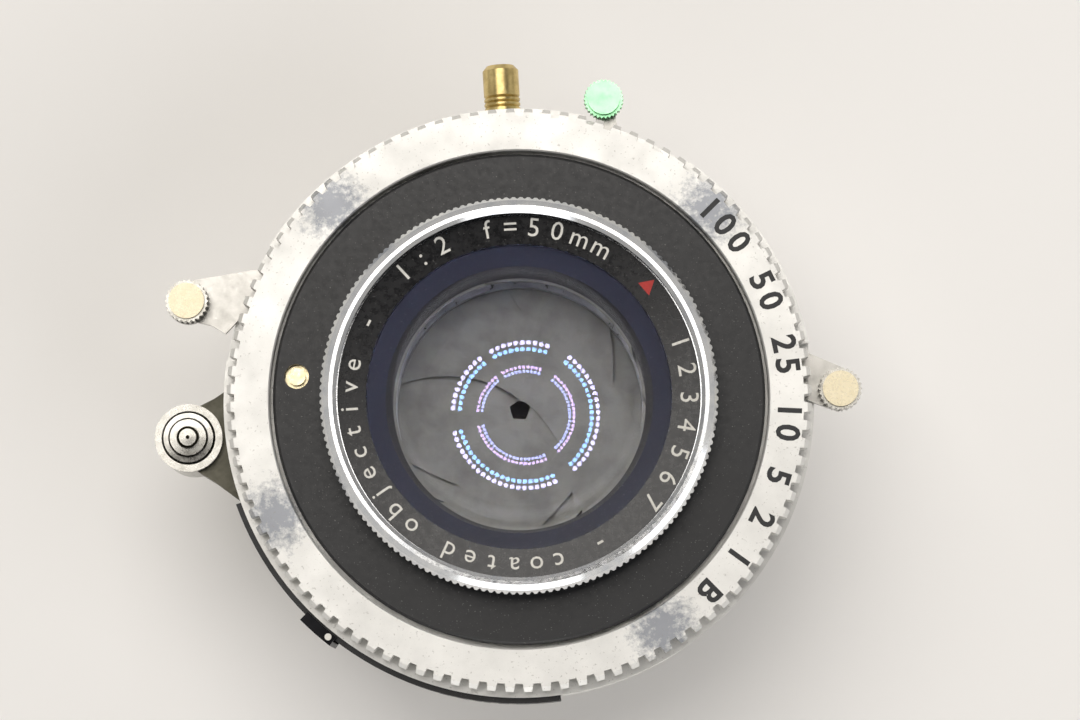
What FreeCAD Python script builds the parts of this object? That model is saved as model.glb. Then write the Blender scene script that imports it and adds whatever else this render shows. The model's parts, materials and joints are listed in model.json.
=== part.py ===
"""A 50 mm enlarging objective mounted in a leaf shutter, as separate bench-level pieces.

Frame: millimetres, +Z along the optical axis towards the front glass, origin on the axis at the
rear seat of the shutter case, which is the face that lies against the lens board. +X points
at the cocking lever and +Y at the flash socket. Angles are measured from +X, anticlockwise
as seen from the front.
"""

import FreeCAD, Part
import Sketcher

import math
import os

from FreeCAD import Placement, Rotation, Vector

BLADES = 5
BLADE_PITCH = 360.0 / BLADES
Z_AXIS = Vector(0, 0, 1)

# Driving dimensions: alias, value in millimetres or degrees, meaning.
DIMENSIONS = [
    # shutter case
    ("seat_radius", 12.5, "M25 x 0.5 mounting thread, major radius"),
    ("seat_length", 5.0, "mounting thread length behind the seat"),
    ("rear_bore", 11.25, "bore for the rear lens cell"),
    ("case_radius", 24.3, "outer radius of the case"),
    ("case_wall", 1.4, "wall of the case"),
    ("case_floor", 1.2, "floor of the case"),
    ("case_chamfer", 1.8, "radial run of the rear bevel"),
    ("case_top", 10.95, "height of the case wall"),
    ("ledge_radius", 22.0, "inner radius of the ledge under the blade plate"),
    ("plate_radius", 22.85, "outer radius of the plates inside the case"),
    ("ring_boss", 11.9, "radius of the floor boss that guides the iris ring"),
    ("ring_boss_top", 1.95, "height of that boss"),
    ("running_gap", 0.06, "radial clearance of a turning ring"),
    # blade plate, blades and their rings
    ("blade_plate_low", 3.0, "rear face of the blade plate"),
    ("blade_plate_high", 3.6, "front face of the blade plate"),
    ("stop_radius", 8.4, "opening in the blade plate"),
    ("blade_inner", 8.7, "inner radius of an open blade"),
    ("blade_outer", 14.1, "outer radius of an open blade"),
    ("blade_span", 142.0, "angle that a blade covers"),
    ("blade_lead", 6.0, "part of that angle behind its pivot"),
    ("blade_sheet", 0.12, "blade thickness"),
    ("blade_step", 0.17, "height from one blade to the next"),
    ("pivot_circle", 15.0, "radius of the circle of blade pivots"),
    ("stud_radius", 0.35, "pivot stud radius"),
    ("stud_hole", 0.42, "pivot hole radius in a blade"),
    ("heel_radius", 0.95, "blade heel round its pivot"),
    ("crank", 2.4, "pivot to drive pin"),
    ("crank_lift", 12.0, "outward lean of the crank at mid travel"),
    ("crank_width", 1.3, "width of the crank"),
    ("drive_pin", 0.3, "drive pin radius"),
    ("slot_half_width", 0.42, "half width of a cam slot"),
    ("iris_first_layer", 2.05, "rear face of the first iris blade"),
    ("iris_swing", 31.2, "iris blade swing, open to smallest stop"),
    ("iris_ring_travel", 40.0, "iris ring travel over the same"),
    ("iris_ring_low", 1.3, "rear face of the iris ring"),
    ("iris_ring_high", 1.9, "front face of the iris ring"),
    ("iris_ring_radius", 18.2, "outer radius of the iris ring"),
    ("shutter_first_layer", 3.72, "rear face of the first shutter blade"),
    ("shutter_swing", 34.5, "shutter blade swing, open to closed"),
    ("shutter_ring_travel", 24.0, "shutter ring travel over the same"),
    ("shutter_ring_low", 4.7, "rear face of the shutter ring"),
    ("shutter_ring_high", 5.3, "front face of the shutter ring"),
    ("shutter_ring_radius", 17.6, "outer radius of the shutter ring"),
    ("shutter_ring_boss", 13.95, "boss that guides the shutter ring"),
    ("shutter_ring_bore", 14.0, "bore of the shutter ring"),
    # mechanism plate and the two clockwork trains
    ("mechanism_low", 5.5, "rear face of the mechanism plate"),
    ("mechanism_high", 6.1, "front face of the mechanism plate"),
    ("front_tube", 12.3, "outer radius of the front tube"),
    ("front_tube_top", 11.4, "top of the front tube"),
    ("skirt_radius", 22.2, "inner radius of the skirt on the blade plate"),
    ("arbor_circle", 17.6, "radius of the circle of arbors"),
    ("arbor_radius", 0.3, "arbor radius"),
    ("arbor_hole", 0.36, "bore of a wheel"),
    ("gear_module", 0.3, "module of the trains"),
    ("first_wheels", 6.4, "rear face of the sectors and first pinions"),
    ("second_wheels", 7.05, "rear face of the second wheels"),
    ("third_wheels", 7.65, "rear face of the escape wheels"),
    ("wheel_thickness", 0.4, "wheel thickness"),
    ("bridge_low", 8.25, "rear face of the train bridge"),
    ("bridge_high", 8.65, "front face of the train bridge"),
    # levers
    ("timer_lever_low", 8.9, "rear face of the self-timer lever"),
    ("timer_lever_high", 9.5, "front face of the self-timer lever"),
    ("lever_low", 9.9, "rear face of the cocking and release levers"),
    ("lever_high", 10.6, "front face of the cocking and release levers"),
    ("cocking_ring_radius", 14.8, "outer radius of the cocking ring"),
    ("release_post", 0.5, "radius of the release lever's post"),
    ("knob_radius", 1.78, "radius of a lever knob"),
    ("timer_knob_radius", 1.65, "radius of the self-timer knob"),
    # speed ring, cam ring and cover
    ("speed_ring_low", 11.15, "rear face of the speed ring"),
    ("speed_ring_high", 14.0, "front face of the speed ring"),
    ("speed_ring_bore", 20.35, "bore of the speed ring"),
    ("speed_ring_root", 23.2, "root radius of the grip teeth"),
    ("speed_ring_tip", 23.85, "tip radius of the grip teeth"),
    ("speed_skirt_bore", 19.0, "inner radius of the ring's skirt"),
    ("speed_skirt_low", 11.75, "rear face of that skirt"),
    ("speed_skirt_high", 12.4, "front face of that skirt"),
    ("cam_high", 11.7, "front face of the cam ring"),
    ("cover_radius", 20.05, "outer radius of the cover"),
    ("cover_bore", 13.7, "bore of the cover"),
    ("cover_hub", 14.4, "outer radius of the cover's hub"),
    ("cover_hub_low", 10.75, "rear end of the cover's hub"),
    ("cover_lip", 19.3, "inner radius of the cover's lip"),
    ("cover_lip_low", 12.6, "rear end of the cover's lip"),
    ("cover_low", 13.3, "rear face of the cover"),
    ("cover_high", 14.1, "front face of the cover"),
    ("cover_edge", 0.22, "bevel on the cover's edge"),
    # front lens cell
    ("front_cell_radius", 11.2, "outer radius of the cell in the tube"),
    ("front_cell_low", 5.4, "rear end of the front cell"),
    ("doublet_bore", 10.65, "bore for the front doublet"),
    ("element_bore", 12.95, "bore for the front element"),
    ("element_seat", 12.95, "seat of the front element's spacer"),
    ("baffle_bore", 12.0, "bore for the light baffle"),
    ("baffle_seat", 11.6, "shoulder that the baffle sits on"),
    ("cell_shoulder", 12.85, "shoulder of the cell under the cover's hub"),
    ("flange_low", 14.15, "rear face of the front flange"),
    ("flange_high", 14.5, "front face of the front flange"),
    ("rim_radius", 16.1, "outer radius of the slip-on rim"),
    ("filter_radius", 14.75, "filter thread radius"),
    ("rim_top", 17.6, "front of the rim"),
    ("knurl_depth", 0.16, "depth of the knurl on the rim"),
    ("name_ring_bore", 12.4, "bore of the name ring"),
    ("name_ring_low", 15.4, "rear face of the name ring"),
    # glass
    ("front_glass", 12.9, "front element radius"),
    ("doublet_glass", 10.6, "front doublet radius"),
    ("rear_glass", 9.6, "rear elements' radius"),
    ("cement_gap", 0.02, "space between cemented faces"),
    # rear lens cell
    ("rear_cell_radius", 11.2, "outer radius of the cell in the bore"),
    ("rear_collar", 12.0, "radius of the rear collar"),
    ("rear_end", -11.4, "rear end of the objective"),
    ("rear_cell_bore", 9.65, "bore for the rear elements"),
    # flash socket
    ("socket_angle", 93.3, "direction of the flash socket"),
    ("socket_height", 7.8, "height of the flash socket's axis"),
    ("socket_radius", 1.5, "outer radius of the flash socket"),
    ("socket_shank", 1.3, "radius of its shank in the case wall"),
    ("socket_bore", 1.1, "bore of the flash socket"),
    ("socket_start", 22.3, "inner end of the socket from the axis"),
    ("socket_end", 28.4, "outer end of the socket from the axis"),
    ("contact_pin", 0.45, "radius of the socket's contact pin"),
    # release button
    ("button_x", -27.3, "release button, X"),
    ("button_y", -2.9, "release button, Y"),
    ("button_radius", 2.1, "radius of the button"),
    ("button_top", 9.5, "rim of the button"),
    ("guide_radius", 2.8, "outer radius of the button's guide"),
    ("guide_low", 2.2, "rear end of the guide"),
    ("guide_high", 9.25, "front end of the guide"),
    ("guide_floor", 0.8, "floor of the guide"),
    ("plunger_radius", 0.7, "radius of the button's plunger"),
]


class Size:
    """A number together with the sheet expression that it comes from."""

    def __init__(self, value, text):
        self.value = value
        self.text = text

    def __float__(self):
        return float(self.value)

    def joined(self, other, sign, result):
        text = other.text if isinstance(other, Size) else "%g" % other
        return Size(result, "(%s %s %s)" % (self.text, sign, text))

    def __add__(self, other):
        return self.joined(other, "+", self.value + float(other))

    def __sub__(self, other):
        return self.joined(other, "-", self.value - float(other))

    def __radd__(self, number):
        return Size(number + self.value, "(%g + %s)" % (number, self.text))

    def __rsub__(self, number):
        return Size(number - self.value, "(%g - %s)" % (number, self.text))

    def __mul__(self, other):
        return self.joined(other, "*", self.value * float(other))

    def __neg__(self):
        return Size(-self.value, "(-%s)" % self.text)


class Sheet:
    """The spreadsheet of driving dimensions, read as attributes that give a Size."""

    def __init__(self, rows):
        sheet = doc.addObject("Spreadsheet::Sheet", "dims")
        self.values = {}
        for row, (alias, value, meaning) in enumerate(rows, 1):
            sheet.set("A%d" % row, meaning)
            sheet.set("B%d" % row, "%g" % value)
            sheet.setAlias("B%d" % row, alias)
            self.values[alias] = value
        doc.recompute()

    def __getattr__(self, alias):
        return Size(self.values[alias], "dims." + alias)


doc = FreeCAD.newDocument("enlarging_objective")
dims = Sheet(DIMENSIONS)
pieces = []


def keep(piece):
    """List an object as one of the objective's pieces; its Label is the piece's name."""
    pieces.append(piece)
    return piece


# ---------------------------------------------------------------- ways of making a shape


def bind(thing, prop, size):
    """Set a property, and tie it to the sheet where the size comes from there."""
    setattr(thing, prop, float(size))
    if isinstance(size, Size):
        thing.setExpression(prop, size.text)


def place(thing, z=0.0, x=0.0, y=0.0, turn=0.0):
    """Put an object at a point and turn it about Z, with bound coordinates."""
    thing.Placement = Placement(Vector(float(x), float(y), float(z)), Rotation(Z_AXIS, float(turn)))
    for letter, size in (("x", x), ("y", y), ("z", z)):
        if isinstance(size, Size):
            thing.setExpression("Placement.Base." + letter, size.text)


def origin_plane(body, role):
    return [part for part in body.Origin.OriginFeatures if part.Role == role][0]


def polygon_sketch(body, name, role, corners):
    """A closed straight-sided profile whose corners are each held by two dimensions."""
    sketch = body.newObject("Sketcher::SketchObject", name)
    sketch.AttachmentSupport = (origin_plane(body, role), [""])
    sketch.MapMode = "FlatFace"
    points = [Vector(float(u), float(v), 0) for u, v in corners]
    count = len(points)
    for number in range(count):
        sketch.addGeometry(Part.LineSegment(points[number], points[(number + 1) % count]))
    joints = [("Coincident", n, 2, (n + 1) % count, 1) for n in range(count)]
    for words in joints:
        sketch.addConstraint(Sketcher.Constraint(*words))
    for number, corner in enumerate(corners):
        for kind, axis, size in (("DistanceX", -2, corner[0]), ("DistanceY", -1, corner[1])):
            if float(size) == 0.0:
                sketch.addConstraint(Sketcher.Constraint("PointOnObject", number, 1, axis))
                continue
            words = (kind, -1, 1, number, 1, float(size))
            index = sketch.addConstraint(Sketcher.Constraint(*words))
            if isinstance(size, Size):
                sketch.setExpression("Constraints[%d]" % index, size.text)
    return sketch


def turned(label, corners):
    """A lathe-turned piece: (radius, height) corners revolved about Z."""
    body = doc.addObject("PartDesign::Body", label)
    sketch = polygon_sketch(body, label + "_profile", "XZ_Plane", corners)
    revolution = body.newObject("PartDesign::Revolution", label + "_turning")
    revolution.Profile = sketch
    revolution.ReferenceAxis = (sketch, ["V_Axis"])
    revolution.Angle = 360
    return body


def grooved(body, corners, count):
    """Cut `count` equal grooves round a body: (x, y) corners of one groove, cut along Z."""
    sketch = polygon_sketch(body, body.Label + "_groove", "XY_Plane", corners)
    pocket = body.newObject("PartDesign::Pocket", body.Label + "_cut")
    pocket.Profile = sketch
    pocket.Type = "ThroughAll"
    pocket.Midplane = True
    pattern = body.newObject("PartDesign::PolarPattern", body.Label + "_grooves")
    pattern.Originals = [pocket]
    pattern.Axis = (sketch, ["N_Axis"])
    pattern.Angle = 360
    pattern.Occurrences = count
    body.Tip = pattern


def plate(label, corners, low, high):
    """A flat piece cut from sheet: (x, y) corners, between two heights."""
    body = doc.addObject("PartDesign::Body", label)
    sketch = polygon_sketch(body, label + "_outline", "XY_Plane", corners)
    pad = body.newObject("PartDesign::Pad", label + "_pad")
    pad.Profile = sketch
    bind(pad, "Length", high - low)
    place(body, z=low)
    return body


def rod(label, radius, low, high, x=0.0, y=0.0, span=360.0, turn=0.0):
    """A round bar along Z, or a wedge of it."""
    cylinder = doc.addObject("Part::Cylinder", label)
    bind(cylinder, "Radius", radius)
    bind(cylinder, "Height", high - low)
    bind(cylinder, "Angle", span)
    place(cylinder, z=low, x=x, y=y, turn=turn)
    return cylinder


def cut(label, base, *tools):
    """One object less others."""
    result = doc.addObject("Part::Cut", label)
    result.Base = base
    result.Tool = tools[0] if len(tools) == 1 else joined(label + "_tools", *tools)
    return result


def joined(label, *members):
    result = doc.addObject("Part::MultiFuse", label)
    result.Shapes = list(members)
    return result


def grouped(label, *members):
    """Identical loose fasteners or posts that share one node."""
    result = doc.addObject("Part::Compound", label)
    result.Links = list(members)
    return result


def arc_band(label, inner, outer, low, high, start, span):
    """A stretch of a ring between two radii and two heights."""
    whole = rod(label + "_outer", outer, low, high, span=span, turn=start)
    core = rod(label + "_inner", inner, low - 1.0, high + 1.0)
    return cut(label, whole, core)


def solid_feature(label, shape, turn=0.0):
    feature = doc.addObject("Part::Feature", label)
    feature.Shape = shape
    feature.Placement = Placement(Vector(0, 0, 0), Rotation(Z_AXIS, turn))
    return feature


def polar(radius, degrees):
    angle = math.radians(float(degrees))
    return Vector(float(radius) * math.cos(angle), float(radius) * math.sin(angle), 0)


# ---------------------------------------------------------------- case, plates and scale

RELEASE_WINDOW = (148.0, 24.0)
TIMER_WINDOW = (55.0, 22.0)
COCKING_WINDOW = (-42.5, 54.0)
POINTER_START = 225.0
POINTER_SPAN = 7.3
SCALE_START, SCALE_SPAN = 200.0, 78.0


def socket_placement(distance):
    """A frame whose Z runs outwards along the flash socket's axis."""
    outward = polar(1, dims.socket_angle)
    base = outward * float(distance) + Vector(0, 0, float(dims.socket_height))
    return Placement(base, Rotation(Z_AXIS, outward))


def make_case():
    inner = dims.case_radius - dims.case_wall
    blank = turned("case_turning", [
        (dims.rear_bore, -dims.seat_length),
        (dims.seat_radius, -dims.seat_length),
        (dims.seat_radius, 0),
        (dims.case_radius - dims.case_chamfer, 0),
        (dims.case_radius, dims.case_floor),
        (dims.case_radius, dims.case_top),
        (inner, dims.case_top),
        (inner, dims.blade_plate_low),
        (dims.ledge_radius, dims.blade_plate_low),
        (dims.ledge_radius, dims.case_floor),
        (dims.ring_boss, dims.case_floor),
        (dims.ring_boss, dims.ring_boss_top),
        (dims.rear_bore, dims.ring_boss_top),
    ])
    beyond = dims.case_radius + 2.0
    above = dims.case_top + 1.0
    release = rod("release_window", beyond, dims.lever_low - 0.1, above,
                  turn=RELEASE_WINDOW[0], span=RELEASE_WINDOW[1])
    timer = rod("timer_window", beyond, dims.timer_lever_low - 0.1, above,
                turn=TIMER_WINDOW[0], span=TIMER_WINDOW[1])
    cocking = rod("cocking_window", beyond, dims.lever_low - 0.1, above,
                  turn=COCKING_WINDOW[0], span=COCKING_WINDOW[1])
    pointer = arc_band("pointer_window", dims.ledge_radius - 0.5, beyond, dims.iris_ring_low - 0.05,
                       dims.iris_ring_high + 0.1, POINTER_START - 1.5,
                       dims.iris_ring_travel + POINTER_SPAN + 3.0)
    socket = doc.addObject("Part::Cylinder", "socket_hole")
    bind(socket, "Radius", dims.socket_shank + 0.01)
    bind(socket, "Height", dims.socket_end - dims.socket_start)
    socket.Placement = socket_placement(dims.socket_start - 1.0)
    keep(cut("shutter_housing", blank, release, timer, cocking, pointer, socket))
    keep(arc_band("aperture_scale_plate", dims.case_radius, dims.case_radius + 0.45,
                  dims.blade_plate_low, dims.case_top - 0.55, SCALE_START, SCALE_SPAN))


def pivot_angles(first):
    return [first + BLADE_PITCH * number for number in range(BLADES)]


IRIS_PIVOTS = pivot_angles(18.0)
SHUTTER_PIVOTS = pivot_angles(54.0)


def make_blade_plate():
    blank = turned("blade_plate_turning", [
        (dims.stop_radius, dims.blade_plate_low),
        (dims.plate_radius, dims.blade_plate_low),
        (dims.plate_radius, dims.blade_plate_high),
        (dims.stop_radius, dims.blade_plate_high),
    ])
    holes, studs = [], []
    rear_end = dims.iris_first_layer - 0.03
    front_end = dims.shutter_first_layer + dims.blade_step * BLADES + 0.05
    for name, angles, low, high in (
        ("iris", IRIS_PIVOTS, rear_end, dims.blade_plate_high),
        ("shutter", SHUTTER_PIVOTS, dims.blade_plate_low, front_end),
    ):
        for number, angle in enumerate(angles, 1):
            spot = polar(dims.pivot_circle, angle)
            label = "%s_stud_%d" % (name, number)
            holes.append(rod(label + "_hole", dims.stud_radius + 0.01, dims.blade_plate_low - 1.0,
                             dims.blade_plate_high + 1.0, spot.x, spot.y))
            studs.append(rod(label, dims.stud_radius, low, high, spot.x, spot.y))
    keep(cut("blade_base_plate", blank, *holes))
    keep(grouped("blade_pivot_studs", *studs))


SCREW_SPOTS = [polar(21.3, angle) for angle in (120.0, 205.0, 345.0)]
SCREW_HEAD, SCREW_SHANK = 0.8, 0.45
SECTOR_PIN_RADIUS, SECTOR_PIN_CIRCLE, SECTOR_PIN_ANGLE = 0.4, 16.7, 196.0


def make_mechanism_plate():
    blank = turned("mechanism_turning", [
        (dims.rear_bore, dims.mechanism_low),
        (dims.shutter_ring_boss - 0.75, dims.mechanism_low),
        (dims.shutter_ring_boss - 0.75, dims.shutter_ring_low),
        (dims.shutter_ring_boss, dims.shutter_ring_low),
        (dims.shutter_ring_boss, dims.mechanism_low),
        (dims.skirt_radius, dims.mechanism_low),
        (dims.skirt_radius, dims.blade_plate_high),
        (dims.plate_radius, dims.blade_plate_high),
        (dims.plate_radius, dims.mechanism_high),
        (dims.front_tube, dims.mechanism_high),
        (dims.front_tube, dims.front_tube_top),
        (dims.rear_bore, dims.front_tube_top),
    ])
    pin_slot = arc_band("sector_pin_slot", SECTOR_PIN_CIRCLE - 0.6, SECTOR_PIN_CIRCLE + 0.6,
                        dims.mechanism_low - 0.2, dims.mechanism_high + 0.2,
                        SECTOR_PIN_ANGLE - 3.0, dims.shutter_ring_travel + 6.0)
    holes, screws = [pin_slot], []
    for number, spot in enumerate(SCREW_SPOTS, 1):
        label = "screw_%d" % number
        holes.append(rod(label + "_hole", SCREW_SHANK, dims.mechanism_low - 0.2,
                         dims.mechanism_high + 0.2, spot.x, spot.y))
        shank = rod(label + "_shank", SCREW_SHANK, dims.mechanism_low, dims.mechanism_high,
                    spot.x, spot.y)
        head = rod(label + "_head", SCREW_HEAD, dims.mechanism_high, dims.mechanism_high + 0.45,
                   spot.x, spot.y)
        slot = doc.addObject("Part::Box", label + "_slot")
        slot.Length, slot.Width, slot.Height = 2 * SCREW_HEAD, 0.22, 0.3
        place(slot, x=spot.x - SCREW_HEAD, y=spot.y - 0.11, z=dims.mechanism_high + 0.25)
        screws.append(cut(label, joined(label + "_blank", shank, head), slot))
    keep(cut("mechanism_plate", blank, *holes))
    keep(grouped("plate_screws", *screws))


# ---------------------------------------------------------------- iris and shutter blades


def crank_direction(swing, turned_by):
    """Direction of a blade's crank, from a pivot on +X, at a turn from its open place."""
    return -90.0 - float(swing) / 2 + float(dims.crank_lift) + turned_by


def make_blade(label, pivot_angle, layer, swing, turned_by, pin_low, pin_high):
    """A crescent blade with heel, crank and drive pin, made open with its pivot on +X.

    Its Placement turns it about that pivot and then carries it round to its own pivot.
    """
    top = layer + dims.blade_sheet
    band = arc_band(label + "_band", dims.blade_inner, dims.blade_outer, layer, top,
                    -dims.blade_lead, dims.blade_span)
    heel = rod(label + "_heel", dims.heel_radius, layer, top, x=dims.pivot_circle)
    neck = doc.addObject("Part::Box", label + "_neck")
    bind(neck, "Length", dims.pivot_circle - dims.blade_outer + 1.0)
    bind(neck, "Width", dims.heel_radius * 2)
    bind(neck, "Height", dims.blade_sheet)
    place(neck, x=dims.blade_outer - 1.0, y=-dims.heel_radius, z=layer)
    direction = crank_direction(swing, 0.0)
    pin_spot = Vector(float(dims.pivot_circle), 0, 0) + polar(dims.crank, direction)
    arm = doc.addObject("Part::Box", label + "_crank")
    bind(arm, "Length", dims.crank)
    bind(arm, "Width", dims.crank_width)
    bind(arm, "Height", dims.blade_sheet)
    side = polar(dims.crank_width * 0.5, direction - 90.0)
    place(arm, x=side.x + float(dims.pivot_circle), y=side.y, z=layer, turn=direction)
    tip = rod(label + "_tip", dims.crank_width * 0.5, layer, top, pin_spot.x, pin_spot.y)
    pin = rod(label + "_pin", dims.drive_pin, pin_low, pin_high, pin_spot.x, pin_spot.y)
    hole = rod(label + "_hole", dims.stud_hole, layer - 1.0, top + 1.0, x=dims.pivot_circle)
    blade = cut(label, joined(label + "_blank", band, heel, neck, arm, tip, pin), hole)
    pivot = Vector(float(dims.pivot_circle), 0, 0)
    about_pivot = Placement(Vector(0, 0, 0), Rotation(Z_AXIS, float(turned_by)), pivot)
    blade.Placement = Placement(Vector(0, 0, 0), Rotation(Z_AXIS, pivot_angle)) * about_pivot
    return keep(blade)


def cam_slot(label, pivot_angle, swing, turns, ring_turns, low, high):
    """The slot that a drive pin needs in its ring, as an arc through the ends and the middle."""
    centres = []
    for turned_by, ring_turn in zip(turns, ring_turns):
        spot = Vector(float(dims.pivot_circle), 0, 0)
        spot += polar(dims.crank, crank_direction(swing, turned_by))
        centres.append(Rotation(Z_AXIS, pivot_angle - ring_turn).multVec(spot))
    circle = Part.Arc(*centres).toShape().Curve
    centre, mean = circle.Center, circle.Radius
    bearings = [math.degrees(math.atan2(spot.y - centre.y, spot.x - centre.x)) for spot in centres]
    span = (bearings[0] - bearings[2]) % 360.0
    start = bearings[2]
    if span > 180.0:
        span, start = 360.0 - span, bearings[0]
    half = float(dims.slot_half_width)
    base = Vector(centre.x, centre.y, float(low) - 0.2)
    height = float(high) - float(low) + 0.4
    sector = Part.makeCylinder(mean + half, height, base, Z_AXIS, span)
    sector.rotate(base, Z_AXIS, start)
    slot = sector.cut(Part.makeCylinder(mean - half, height, base))
    for spot in (centres[0], centres[2]):
        end = Vector(spot.x, spot.y, base.z)
        slot = slot.fuse(Part.makeCylinder(half, height, end))
    return solid_feature(label, slot)


def three_steps(last):
    return (0.0, float(last) / 2, float(last))


def make_iris():
    swing, travel = dims.iris_swing, dims.iris_ring_travel
    ring = turned("iris_ring_turning", [
        (dims.ring_boss + dims.running_gap, dims.iris_ring_low),
        (dims.iris_ring_radius, dims.iris_ring_low),
        (dims.iris_ring_radius, dims.iris_ring_high),
        (dims.ring_boss + dims.running_gap, dims.iris_ring_high),
    ])
    closing = tuple(reversed(three_steps(swing)))
    slots = []
    for number, angle in enumerate(IRIS_PIVOTS, 1):
        slots.append(cam_slot("iris_slot_%d" % number, angle, swing, closing, three_steps(travel),
                              dims.iris_ring_low, dims.iris_ring_high))
        layer = dims.iris_first_layer + dims.blade_step * (number - 1)
        make_blade("iris_blade_%d" % number, angle, layer, swing, swing,
                   dims.iris_ring_low + 0.1, layer + dims.blade_sheet)
    keep(cut("iris_drive_ring", ring, *slots))
    strip = dims.case_radius + 0.65
    arm = arc_band("pointer_arm", dims.iris_ring_radius, strip + 0.4, dims.iris_ring_low,
                   dims.iris_ring_high, POINTER_START, POINTER_SPAN)
    upright = arc_band("pointer_upright", strip, strip + 0.4, dims.iris_ring_low,
                       dims.case_top - 0.05, POINTER_START, POINTER_SPAN)
    tab = arc_band("pointer_tab", dims.case_radius + 0.15, strip + 0.4, dims.case_top - 0.4,
                   dims.case_top - 0.05, POINTER_START, POINTER_SPAN)
    peg_spot = polar(strip - 0.1, POINTER_START + POINTER_SPAN - 1.2)
    peg = rod("pointer_peg", 0.28, dims.case_top - 0.3, dims.case_top + 0.35, peg_spot.x, peg_spot.y)
    keep(joined("aperture_pointer", arm, upright, tab, peg))


def make_shutter():
    swing, travel = dims.shutter_swing, dims.shutter_ring_travel
    ring = turned("shutter_ring_turning", [
        (dims.shutter_ring_bore, dims.shutter_ring_low),
        (dims.shutter_ring_radius, dims.shutter_ring_low),
        (dims.shutter_ring_radius, dims.shutter_ring_high),
        (dims.shutter_ring_bore, dims.shutter_ring_high),
    ])
    slots = []
    for number, angle in enumerate(SHUTTER_PIVOTS, 1):
        slots.append(cam_slot("shutter_slot_%d" % number, angle, swing, three_steps(swing),
                              three_steps(travel), dims.shutter_ring_low, dims.shutter_ring_high))
        layer = dims.shutter_first_layer + dims.blade_step * (number - 1)
        make_blade("shutter_blade_%d" % number, angle, layer, swing, 0.0,
                   layer, dims.shutter_ring_high - 0.1)
    slotted = cut("shutter_ring_slotted", ring, *slots)
    spot = polar(SECTOR_PIN_CIRCLE, SECTOR_PIN_ANGLE)
    pin = rod("sector_pin", SECTOR_PIN_RADIUS, dims.shutter_ring_low, dims.first_wheels + 0.8,
              spot.x, spot.y)
    keep(joined("shutter_sector_ring", slotted, pin))


# ---------------------------------------------------------------- clockwork trains

SECTOR_TEETH, PINION_TEETH, WHEEL_TEETH, ESCAPE_TEETH = 40, 8, 24, 15
HALF_TOOTH = 0.2  # half a tooth at the pitch line, as a share of the tooth pitch
ESCAPE_RADIUS, ESCAPE_ROOT = 2.4, 1.85
PALLET_DISTANCE = 3.6


def pitch_radius(teeth):
    return float(dims.gear_module) * teeth / 2


def arbor_step(distance):
    """Angle between two arbors of the circle that stand this far apart."""
    return math.degrees(2 * math.asin(distance / 2 / float(dims.arbor_circle)))


SECTOR_STEP = arbor_step(pitch_radius(SECTOR_TEETH) + pitch_radius(PINION_TEETH))
WHEEL_STEP = arbor_step(pitch_radius(WHEEL_TEETH) + pitch_radius(PINION_TEETH))
PALLET_STEP = arbor_step(PALLET_DISTANCE)


def train_angles(first, direction):
    """Directions of the sector, wheel, escape wheel and pallet arbors from the lens axis."""
    steps = (0.0, SECTOR_STEP, SECTOR_STEP + WHEEL_STEP, SECTOR_STEP + WHEEL_STEP + PALLET_STEP)
    return [first + direction * step for step in steps]


RETARD_ARBORS = train_angles(252.0, 1)
TIMER_ARBORS = train_angles(62.0, -1)


def arbor_spot(angle):
    return polar(dims.arbor_circle, angle)


def bearing(start, end):
    return math.degrees(math.atan2(end.y - start.y, end.x - start.x))


def prism(points, low, high):
    base = [Vector(point.x, point.y, float(low)) for point in points]
    face = Part.Face(Part.makePolygon(base + base[:1]))
    return face.extrude(Vector(0, 0, float(high) - float(low)))


def toothed(centre, teeth, facing, low, high, first=0, last=None):
    """A gear, or a sector of one, with a tooth centred on the direction `facing`."""
    module = float(dims.gear_module)
    radius = pitch_radius(teeth)
    step = 360.0 / teeth
    root, tip = radius - 1.2 * module, radius + 0.8 * module
    flank = ((root, -1.25), (radius, -1.0), (tip, -0.55), (tip, 0.55), (radius, 1.0), (root, 1.25))
    last = teeth - 1 if last is None else last
    points = []
    for number in range(first, last + 1):
        for distance, share in flank:
            points.append(centre + polar(distance, facing + (number + share * HALF_TOOTH) * step))
    if last - first + 1 < teeth:
        points.append(centre)
    return prism(points, low, high)


def drum(centre, radius, low, high):
    base = Vector(centre.x, centre.y, float(low))
    return Part.makeCylinder(float(radius), float(high) - float(low), base)


def bored(shape, centre):
    return shape.cut(drum(centre, dims.arbor_hole, 0, 20))


def wheel_and_pinion(label, centre, pinion_faces, wheel_faces, pinion_low, wheel_low):
    """The second arbor's wheel, fast on the pinion that the sector drives."""
    thick = dims.wheel_thickness
    pinion = toothed(centre, PINION_TEETH, pinion_faces + 180.0 / PINION_TEETH,
                     pinion_low, pinion_low + thick)
    hub = drum(centre, 0.8, pinion_low + thick, wheel_low)
    wheel = toothed(centre, WHEEL_TEETH, wheel_faces, wheel_low, wheel_low + thick)
    windows = [drum(centre + polar(2.1, angle), 0.75, wheel_low - 0.1, wheel_low + thick + 0.1)
               for angle in range(0, 360, 72)]
    for window in windows:
        wheel = wheel.cut(window)
    keep(solid_feature(label, bored(pinion.fuse([hub, wheel]).removeSplitter(), centre)))


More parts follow.
